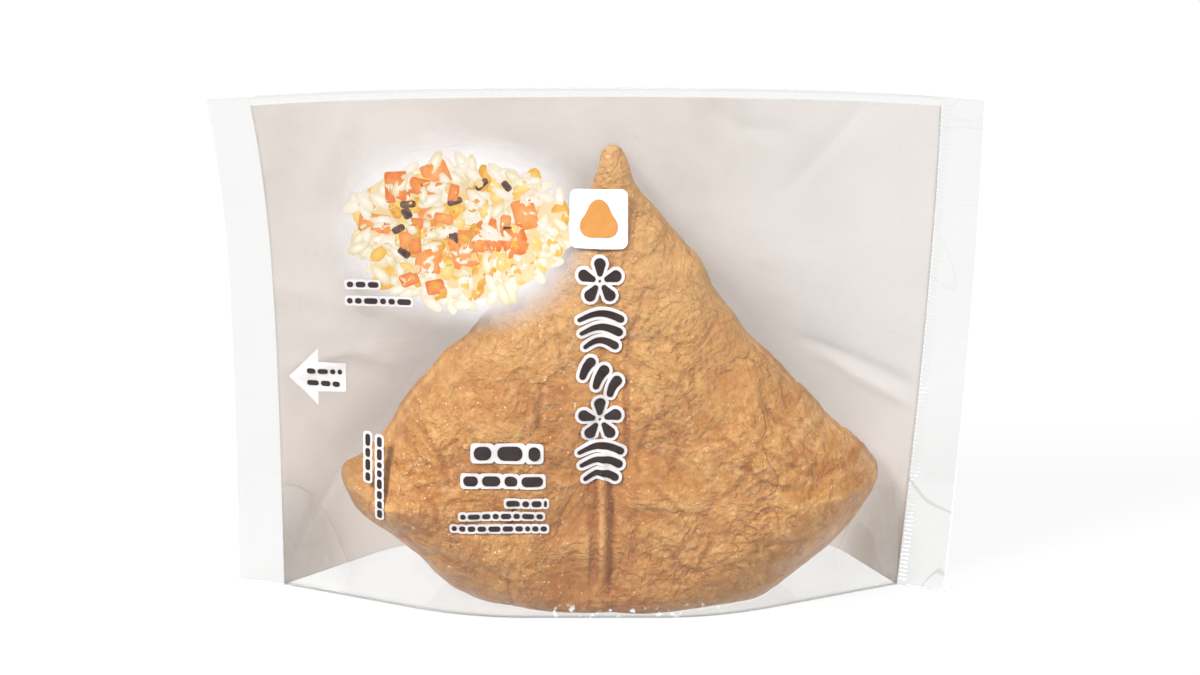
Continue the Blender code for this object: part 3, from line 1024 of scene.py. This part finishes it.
# The column of brushed marks on the front. Each is a few dabs about its own middle, in millimetres:
# the places of the start and the end, the width at each, and the bow
WAVES = ((-3.8, 2.0, 3.8, 2.2, 0.8, 1.5, 1.1), (-3.4, -0.5, 3.5, -0.3, 0.8, 1.6, 1.1),
         (-2.7, -3.0, 2.8, -2.8, 0.8, 1.5, 1.1))
BLOOM = tuple((1.4 * math.sin(a), 1.4 * math.cos(a), 3.1 * math.sin(a), 3.1 * math.cos(a), 1.1, 2.2, 0.0)
              for a in np.arange(5) * 2 * math.pi / 5)
GRAINS = ((-3.2, 0.4, -1.7, 2.9, 1.3, 1.9, 0.2), (-0.7, -1.4, 0.8, 1.3, 1.3, 2.0, 0.2),
          (1.9, -3.1, 3.2, -0.6, 1.3, 1.9, 0.2))
MARKS = ((64.4, BLOOM), (55.4, WAVES), (46.7, GRAINS), (38.8, BLOOM), (30.6, WAVES))
MARKS_X = 0.9
MARK_RIM = 0.62

# Rows of dabs where small print stands, in millimetres: two corners and the dabs' thickness
SMALL_PRINT = (
    (-46.3, 60.4, -39.8, 62.6, 1.1), (-46.3, 57.2, -33.8, 59.4, 1.1),
    (-41.4, 18.6, -39.4, 33.4, 0.9), (-43.6, 25.2, -41.6, 33.4, 0.9),
    (-22.6, 30.2, -10.2, 34.8, 2.7), (-24.6, 25.4, -9.0, 28.9, 1.9),
    (-16.6, 22.1, -9.0, 23.7, 1.15), (-25.2, 19.7, -9.0, 21.1, 1.0), (-26.8, 17.2, -9.0, 18.7, 1.0),
)
ARROW = ((-57.4, 43.0), (-51.9, 48.6), (-51.9, 46.0), (-46.7, 46.2), (-46.7, 40.6), (-51.9, 40.2),
         (-51.9, 37.6))
ARROW_ROWS = ((-54.0, 43.4, -47.4, 45.2, 1.0), (-54.0, 41.0, -47.4, 42.8, 1.0))
LABEL_PLACE = (0.7, 75.5)
LABEL_SIZE = (10.8, 10.7)
LABEL_CORNER = 1.3
EMBLEM_SIZE = (3.3, 3.4)


def dab_row(x0, z0, x1, z1, thick, draw):
    """The corners of a row of short dabs of uneven length, which fills the space that it is given."""
    upright = z1 - z0 > x1 - x0
    start, end = (z0, z1) if upright else (x0, x1)
    middle = (x0 + x1) / 2 if upright else (z0 + z1) / 2
    at = start
    while at < end - 0.4 * thick:
        long = min(thick * draw.uniform(0.9, 2.4), end - at)
        across = (middle - thick / 2, middle + thick / 2)
        yield (across[0], at, across[1], at + long) if upright else (at, across[0], at + long, across[1])
        at += long + 0.42 * thick


def make_marks(bag):
    """The dark marks and the rows of dabs, each with its white surround, and the tear arrow."""
    under = Print("print_surrounds", bag)
    dark = Print("print_marks", bag)
    draw = np.random.default_rng(11)
    for z, dabs in MARKS:
        for x0, z0, x1, z1, start, end, bow in dabs:
            ends = (MARKS_X + x0, z + z0, MARKS_X + x1, z + z1)
            under.shape(dab(*ends, start, end, bow, grow=MARK_RIM))
            dark.shape(dab(*ends, start, end, bow))
    under.shape(ARROW)
    for row in SMALL_PRINT + ARROW_ROWS:
        rim = 0.30 + 0.12 * row[4]
        for x0, z0, x1, z1 in dab_row(*row, draw):
            under.bar(x0 - rim, z0 - rim, x1 + rim, z1 + rim, rim + 0.2)
            dark.bar(x0, z0, x1, z1, row[4] / 2.2)
    under.finish(ink("white print", rgb(208, 202, 202)))
    dark.finish(ink("dark brown print", rgb(46, 36, 36), 0.28))


def make_label(bag):
    """The white label with a plain rounded triangle on it."""
    x, z = LABEL_PLACE
    label = Print("print_label", bag)
    label.shape(rounded_bar(x, z, *LABEL_SIZE, LABEL_CORNER, steps=8))
    label.finish(ink("white label print", rgb(226, 225, 225)))
    triangle = [(x + EMBLEM_SIZE[0] * math.sin(a) * (1 + 0.16 * math.cos(3 * a)),
                 z - 0.4 + EMBLEM_SIZE[1] * math.cos(a) * (1 + 0.16 * math.cos(3 * a)))
                for a in np.linspace(0, 2 * math.pi, 40, endpoint=False)]
    emblem = Print("print_emblem", bag)
    emblem.shape(triangle[::-1])
    emblem.finish(ink("ochre print", rgb(190, 132, 70)))


# The picture of the filling, in millimetres: its middle, half its width and height, the same of the
# white field with its squareness, and how coarsely the picture is cut to follow the film
PICTURE_PLACE = (-25.2, 72.4)
PICTURE_SIZE = (20.8, 13.6)
FIELD_SIZE = (26.5, 20.5)
FIELD_POWER = 2.4
PICTURE_CELL = 2.4

# What the printed filling is made of: the tint of each kind's rim and of its middle, then the layers
# from the lowest up, each with its count, width, height, reach and whether it is cut in cubes
EGG = (((222, 164, 62), (244, 202, 98)), ((208, 146, 44), (236, 180, 66)),
       ((226, 184, 98), (246, 216, 138)))
RICE = (((220, 206, 178), (246, 242, 234)), ((226, 215, 195), (238, 232, 220)),
        ((214, 196, 156), (248, 242, 224)))
CARROT = (((214, 108, 36), (236, 146, 68)), ((222, 128, 52), (240, 164, 92)))
MUSHROOM = (((86, 48, 38), (50, 30, 32)), ((70, 42, 40), (98, 60, 48)))
FILLING = (
    (EGG, 60, 6.0, 3.6, 0.93, False), (RICE, 150, 4.4, 2.0, 1.02, False),
    (EGG, 34, 3.6, 2.2, 0.95, False), (CARROT, 12, 6.0, 4.6, 0.88, True),
    (RICE, 84, 4.3, 1.9, 1.0, False), (EGG, 20, 3.2, 1.8, 0.9, False),
    (CARROT, 8, 3.2, 2.6, 0.9, True), (MUSHROOM, 9, 2.6, 1.7, 0.85, True),
)


def make_picture(bag):
    """The soft white field, and on it the printed filling: rice, egg, carrot and dark mushroom."""
    x0, z0 = PICTURE_PLACE
    fine = 2
    x, z = np.meshgrid(np.linspace(x0 - 29, x0 + 28, 40 * fine + 1) * MM,
                       np.linspace(z0 - 22.5, z0 + 23, 32 * fine + 1) * MM)
    round_off = (np.abs((x / MM - x0) / FIELD_SIZE[0]) ** FIELD_POWER
                 + np.abs((z / MM - z0 - 0.5) / FIELD_SIZE[1]) ** FIELD_POWER) ** (1 / FIELD_POWER)
    y = bag.on_front(x, z, PRINT_LIFT["print_field"] * MM)
    field = gridded("print_field", x, y, z, field=1 - round_off)
    dressed(field, soft_white())
    draw = np.random.default_rng(7)
    picture = Print("print_filling", bag)

    def spot(reach):
        angle = draw.uniform(0, 2 * math.pi)
        away = math.sqrt(draw.uniform(0, 1)) * reach * (1 + 0.07 * math.sin(3 * angle + 1))
        return (x0 + PICTURE_SIZE[0] * away * math.cos(angle),
                z0 + PICTURE_SIZE[1] * away * math.sin(angle) + 0.96 * away * math.cos(angle))

    heap = [(x0 + (PICTURE_SIZE[0] - 0.8) * math.cos(a) * (1 + 0.05 * math.sin(3 * a + 1)),
             z0 + (PICTURE_SIZE[1] - 0.8) * math.sin(a) * (1 + 0.05 * math.sin(3 * a + 1)))
            for a in np.linspace(0, 2 * math.pi, 36, endpoint=False)]
    picture.shape(heap, rgb(228, 206, 164), rgb(222, 176, 98))
    for tints, count, wide, high, reach, cubes in FILLING:
        for _ in range(count):
            px, pz = spot(reach)
            size = draw.uniform(0.8, 1.2)
            turn = draw.uniform(0, math.pi)
            if cubes:
                shape = rounded_bar(px, pz, wide * size, high * draw.uniform(0.7, 1.1), 0.5, turn, 2)
            else:
                shape = oval(px, pz, wide * size, high * size, turn)
            rim, middle = tints[draw.integers(len(tints))]
            picture.shape(shape, rgb(*rim), rgb(*middle))
    picture.finish(picture_ink(), PICTURE_CELL)


# The photographer's table


FLOOR_HALF_WIDTH = 3.0
FLOOR_DROP = 0.0002
FLOOR_GLOW = 0.87
SKY_LIGHT = 0.30
# Each lamp's place, its size and its power in watts
LAMPS = (("upper left lamp", (-0.60, -0.50, 0.80), 0.26, 16.2),
         ("upper right lamp", (0.70, -0.40, 0.60), 0.35, 5.0),
         ("back lamp", (0.0, 0.90, 0.24), 0.6, 9.5))
LIT_PLACE = Vector((0, 0, 0.04))


def make_room():
    """A plain pale floor that is softly lit from within, under soft white light from all round."""
    n = Nodes("pale floor")
    colour = n.blend(n.noise(n.place(), 6, 2), (0.085, 0.085, 0.085, 1), (0.09, 0.09, 0.09, 1))
    glowing = n.surface(colour, 0.7, shine=0.0, Emission_Color=WHITE, Emission_Strength=FLOOR_GLOW)
    mesh = bmesh.new()
    bmesh.ops.create_grid(mesh, x_segments=8, y_segments=8, size=FLOOR_HALF_WIDTH)
    floor = placed("floor", mesh)
    floor.data.materials.append(n.done(glowing))
    floor.location.z = -FLOOR_DROP
    n = Nodes("soft studio light", world=True)
    seen, around = (n.fed("Background", Color=WHITE, Strength=glow) for glow in (1.0, SKY_LIGHT))
    looked_at = n.add("LightPath").outputs["Is Camera Ray"]
    scene.world = n.done(n.mixed(looked_at, around, seen))
    for lamp in LAMPS:
        add_lamp(*lamp)
    scene.cycles.transparent_max_bounces = 24
    view = scene.view_settings
    view.view_transform = "Standard"
    view.look = "None"


def add_lamp(name, place, size, power):
    light = bpy.data.lights.new(name, "AREA")
    light.size = size
    light.energy = power
    lamp = bpy.data.objects.new(name, light)
    scene.collection.objects.link(lamp)
    lamp.location = place
    lamp.rotation_euler = (LIT_PLACE - Vector(place)).to_track_quat("-Z", "Y").to_euler()


CAMERA_ELEVATION = math.radians(22.0)
CAMERA_DISTANCE = 1.2
CAMERA_TARGET = Vector((0, 0, 0.045))
CAMERA_LENS = 191.66
CAMERA_SHIFT = (0.00417, 0.01967)


def make_camera():
    """A long lens a little above the bag, as in the photograph."""
    data = bpy.data.cameras.new("camera")
    camera = bpy.data.objects.new("camera", data)
    scene.collection.objects.link(camera)
    data.lens = CAMERA_LENS
    data.shift_x, data.shift_y = CAMERA_SHIFT
    data.dof.use_dof = False
    away = Vector((0, -math.cos(CAMERA_ELEVATION), math.sin(CAMERA_ELEVATION)))
    camera.location = CAMERA_TARGET + CAMERA_DISTANCE * away
    camera.rotation_euler = (-away).to_track_quat("-Z", "Y").to_euler()
    scene.camera = camera


def main():
    bag = Bag()
    make_inari()
    make_sheets(bag)
    make_strips(bag)
    make_gusset(bag)
    make_picture(bag)
    make_marks(bag)
    make_label(bag)
    make_room()
    make_camera()


main()
